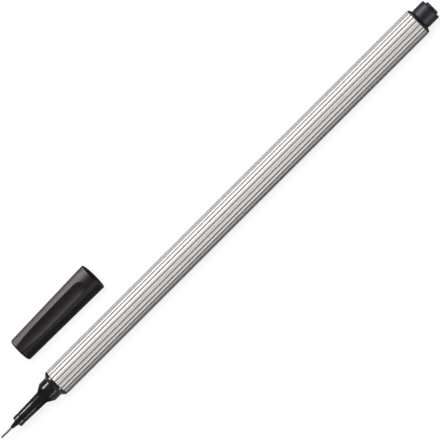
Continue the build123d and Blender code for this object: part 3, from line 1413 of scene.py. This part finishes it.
@dataclass(frozen=True)
class SoftBox:
    """Area lamp that looks at the middle of the table.

    Attributes:
        name: Name of the lamp.
        swing: Angle over the pen, from the cap's side of the table.
        lean: Share of its direction that runs along the pen, towards the tail.
        distance: Distance from the middle of the table in metres.
        length: Size along the pen in metres.
        breadth: Size across the pen in metres.
        radiance: Brightness of its face.
        matt: Whether it lights matt surfaces.
        gloss: Whether glossy surfaces show it.
        target: Name of the only piece that it lights, empty where it lights all.
        tint: Colour of its light.
    """

    name: str
    swing: float
    lean: float
    distance: float
    length: float
    breadth: float
    radiance: float
    matt: bool = True
    gloss: bool = True
    target: str = ""
    tint: tuple[float, float, float] = WHITE[:3]

    def build(self) -> None:
        """Hang the lamp, its length along the pen."""
        data = bpy.data.lights.new(self.name, "AREA")
        data.shape = "RECTANGLE"
        data.size = self.length
        data.size_y = self.breadth
        data.energy = self.radiance * LAMP_POWER * self.length * self.breadth
        data.color = self.tint
        lamp = bpy.data.objects.new(self.name, data)
        bpy.context.scene.collection.objects.link(lamp)
        swing = math.radians(self.swing)
        upright = math.sqrt(1.0 - self.lean**2)
        back = Vector((self.lean, upright * math.cos(swing), upright * math.sin(swing)))
        up = back.cross(Vector((1.0, 0.0, 0.0))).normalized()
        lamp.matrix_world = turned_to(up.cross(back), up, back, back * self.distance)
        lamp.visible_camera = False
        lamp.visible_diffuse = self.matt
        lamp.visible_glossy = self.gloss
        if self.target:
            receivers = bpy.data.collections.new(self.name)
            receivers.objects.link(bpy.data.objects[self.target])
            lamp.light_linking.receiver_collection = receivers


@dataclass
class Studio:
    """Pale table, dim room and soft lamps."""

    floor_size: float = 6.0
    floor_colour: Colour = (0.10, 0.10, 0.10, 1.0)
    floor_glow: float = 0.89
    room: Colour = (0.06, 0.06, 0.06, 1.0)
    lamps: tuple[SoftBox, ...] = (
        SoftBox(
            name="key_box", swing=53.0, lean=-0.01, distance=0.5,
            length=0.345, breadth=0.16, radiance=34.0, matt=False,
        ),
        SoftBox(
            name="edge_strip", swing=167.0, lean=0.0, distance=0.6,
            length=0.345, breadth=0.16, radiance=19.0, matt=False,
        ),
        SoftBox(
            name="overhead_fill", swing=88.0, lean=0.0, distance=0.9,
            length=0.5, breadth=0.5, radiance=10.6, gloss=False,
        ),
        SoftBox(
            name="cap_card", swing=28.0, lean=-0.10, distance=0.5,
            length=0.32, breadth=0.42, radiance=23.0, matt=False,
            target="cap_body", tint=(1.0, 0.91, 0.93),
        ),
    )

    def build_floor(self) -> None:
        """Lay the table, which glows to the camera and in reflections and keeps its shadows."""
        clear_selection()
        bpy.ops.mesh.primitive_plane_add(size=self.floor_size)
        floor = bpy.context.object
        floor.name = "table"
        material, graph = new_graph("table_white")
        rays = graph.add("ShaderNodeLightPath").outputs
        camera, glossy, through = (
            Value(graph, rays[name]) for name in ("Is Camera Ray", "Is Glossy Ray", "Is Transmission Ray")
        )
        seen = (camera + glossy + through).at_most(1.0)
        cover = graph.add("ShaderNodeBsdfDiffuse", None, {"Color": self.floor_colour})
        glow = graph.add("ShaderNodeEmission", None, {"Color": WHITE, "Strength": seen * self.floor_glow})
        both = graph.add("ShaderNodeAddShader", None, {0: cover.outputs[0], 1: glow.outputs[0]})
        graph.add("ShaderNodeOutputMaterial", None, {"Surface": both.outputs[0]})
        floor.data.materials.append(material)

    def build_room(self) -> None:
        """Fill the room with a little even light."""
        world = bpy.data.worlds.new("room")
        bpy.context.scene.world = world
        graph = Graph(world)
        light = graph.add("ShaderNodeBackground", None, {"Color": self.room, "Strength": 1.0})
        graph.add("ShaderNodeOutputWorld", None, {"Surface": light.outputs[0]})

    def build(self) -> None:
        """Set up table, room and lamps."""
        self.build_floor()
        self.build_room()
        for lamp in self.lamps:
            lamp.build()


@dataclass
class PhotoView:
    """Camera with a long lens, at the angle of the photograph.

    Attributes:
        axis: Axis of the pen.
        elevation: Angle of the camera above the table, seen along the pen.
        lean: Angle by which the camera leans towards the tail.
        roll: Angle of the pen in the picture.
        distance: Distance from the point looked at, in metres.
        scale: Picture elements in a millimetre at that point.
        picture: Width of the picture in picture elements.
        along: Point looked at, along the pen from the frame's origin.
        aside: How far that point lies beside the pen's axis, towards the cap.
        sensor: Width of the sensor.
        nearest: Distance from which the camera sees, in metres.
        farthest: Distance up to which it sees, in metres.
    """

    axis: Axis
    elevation: float = 66.0
    lean: float = 4.5
    roll: float = 44.96
    distance: float = 1.2
    scale: float = 3.84
    picture: float = 440.0
    along: float = 1.40
    aside: float = -0.08
    sensor: float = 36.0
    nearest: float = 0.01
    farthest: float = 50.0

    def build(self) -> None:
        """Make the camera and set it as the scene's."""
        tilt = math.radians(self.elevation)
        lean = math.radians(self.lean)
        roll = math.radians(self.roll)
        pen = self.axis.along
        square = Vector((0.0, -math.cos(tilt), math.sin(tilt)))
        back = pen * math.sin(lean) + square * math.cos(lean)
        length = (pen - back * pen.dot(back)).normalized()
        width = back.cross(length)
        right = length * math.cos(roll) - width * math.sin(roll)
        up = length * math.sin(roll) + width * math.cos(roll)
        centre = Vector((self.along * MM, self.axis.origin.y, self.axis.origin.z))
        place = centre + width * (self.aside * MM) + back * self.distance
        data = bpy.data.cameras.new("photo_view")
        data.sensor_width = self.sensor
        data.lens = self.scale * self.distance / MM * self.sensor / self.picture
        data.clip_start = self.nearest
        data.clip_end = self.farthest
        camera = bpy.data.objects.new("photo_view", data)
        bpy.context.scene.collection.objects.link(camera)
        camera.matrix_world = turned_to(right, up, back, place)
        bpy.context.scene.camera = camera


def pen_axis() -> Axis:
    """Axis of the pen, from the middle of the barrel's front face to the tail.

    Returns:
        The axis, whose turns start on the side of the cap.
    """
    low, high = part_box("barrel")
    middle = (low + high) / 2
    return Axis(Vector((low.x, middle.y, middle.z)), Vector((1.0, 0.0, 0.0)), Vector((0.0, 1.0, 0.0)))


def main() -> None:
    """Build the pen, its cap and the studio."""
    logging.basicConfig(level=logging.INFO, format="%(name)s: %(message)s")
    bpy.context.scene.view_settings.view_transform = "Standard"
    axis = pen_axis()
    assemblies: tuple[Assembly, ...] = (Barrel(axis), FrontEnd(axis), TailPlug(axis), InkSupply(), Cap())
    for assembly in assemblies:
        for piece in assembly.dress():
            material = piece.data.materials[0].name
            log.info("%s has %d faces in %s", piece.name, len(piece.data.polygons), material)
    Studio().build()
    PhotoView(axis).build()


if __name__ == "__main__":
    main()
